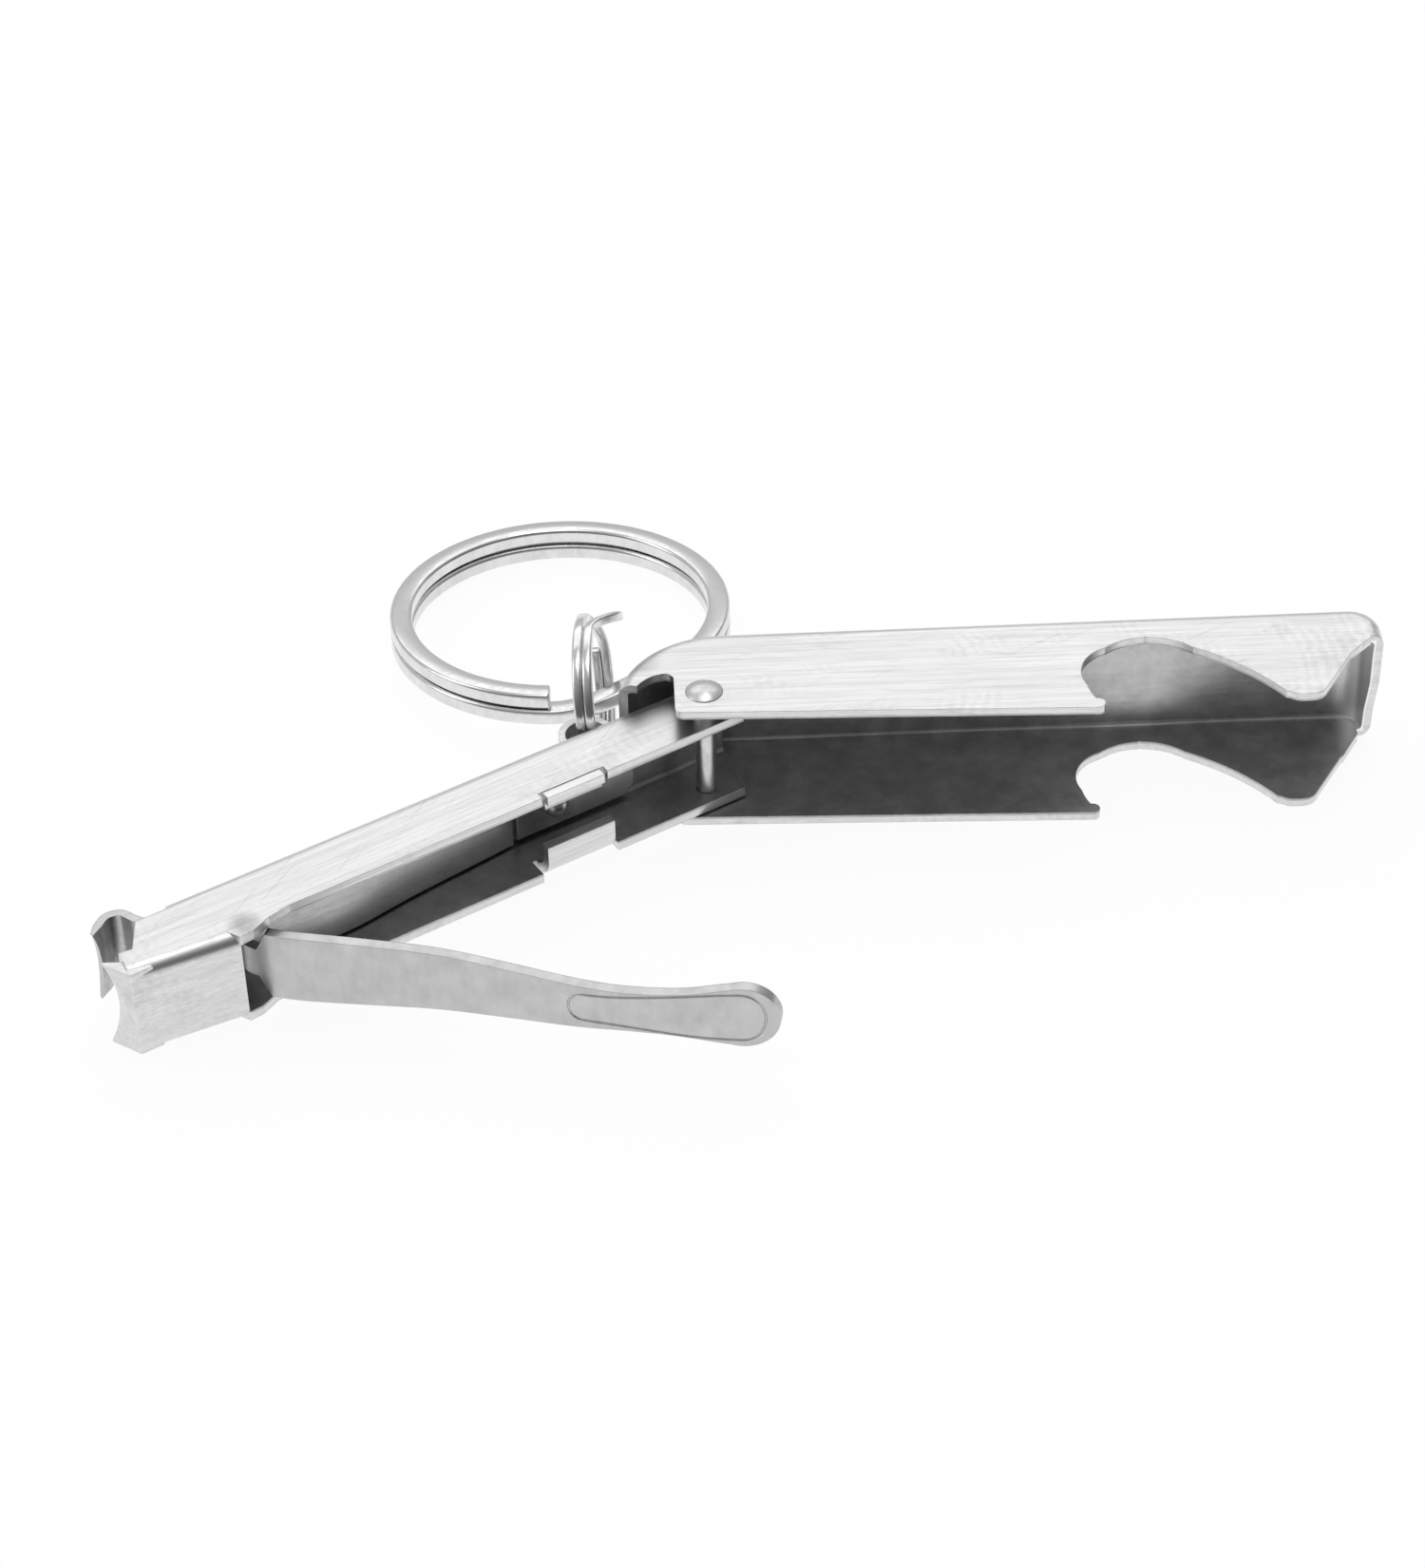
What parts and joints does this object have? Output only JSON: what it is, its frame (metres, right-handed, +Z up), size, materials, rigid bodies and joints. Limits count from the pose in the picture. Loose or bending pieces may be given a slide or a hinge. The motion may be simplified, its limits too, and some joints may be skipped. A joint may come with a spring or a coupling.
{
  "type": "folding keychain bottle opener with nail clipper",
  "caption": "Folding keychain tool: a sheet-steel channel with a cap-lifter cut-out, a nail clipper with a lever that folds into it, and split rings.",
  "frame": {"origin": "axis of the pivot rivet, on the underside of the handle's lower flange, the face the tool rests on", "axes": "+X along the handle to its closed opener end, +Y to the handle's back wall, +Z up along the rivet to its head"},
  "size_m": [0.1075, 0.0719, 0.0142],
  "materials": {
    "brushed_sheet": "brushed along each arm",
    "spring_steel": "dull satin",
    "satin_lever": "satin with bright edges",
    "bright_rivet": "polished, lightly marked",
    "plated_wire": "bright nickel plate"
  },
  "bodies": {
    "opener": {"opener_handle": "brushed_sheet", "pivot_rivet": "bright_rivet"},
    "clipper": {"clipper_body": "brushed_sheet", "jaw_anchor": "spring_steel", "anchor_rivet": "bright_rivet"},
    "jaw": {"jaw_arm": "spring_steel"},
    "lever": {"lever": "satin_lever"},
    "link": {"link_ring": "plated_wire"},
    "ring": {"key_ring": "plated_wire"}
  },
  "joints": [
    {"name": "fold", "type": "hinge", "parent": "opener", "child": "clipper", "pos_m": [0, 0, 0.006], "axis": [0, 0, 1], "range_deg": [0, 149]},
    {"name": "lever_press", "type": "hinge", "parent": "clipper", "child": "lever", "pos_m": [-0.03552, -0.02438, 0.00543], "axis": [0, 0, 1], "range_deg": [0, 43]},
    {"name": "jaw_flex", "type": "hinge", "parent": "clipper", "child": "jaw", "pos_m": [-0.01666, -0.00663, 0.00543], "axis": [0, 0, 1], "range_deg": [0, 5.8]},
    {"name": "link_swing", "type": "hinge", "parent": "clipper", "child": "link", "pos_m": [-0.00987, 0.00031, 0.00705], "axis": [0, 0, 1], "range_deg": [-8, 60]},
    {"name": "key_ring_swing", "type": "hinge", "parent": "link", "child": "ring", "pos_m": [-0.00878, 0.00946, 0.0043], "axis": [0.9694, 0.2456, 0], "range_deg": [0, 85]}
  ],
  "couplings": [
    {"joint": "lever_press", "follows": "fold", "ratio": 0.28859},
    {"joint": "jaw_flex", "follows": "fold", "ratio": 0.038925}
  ]
}
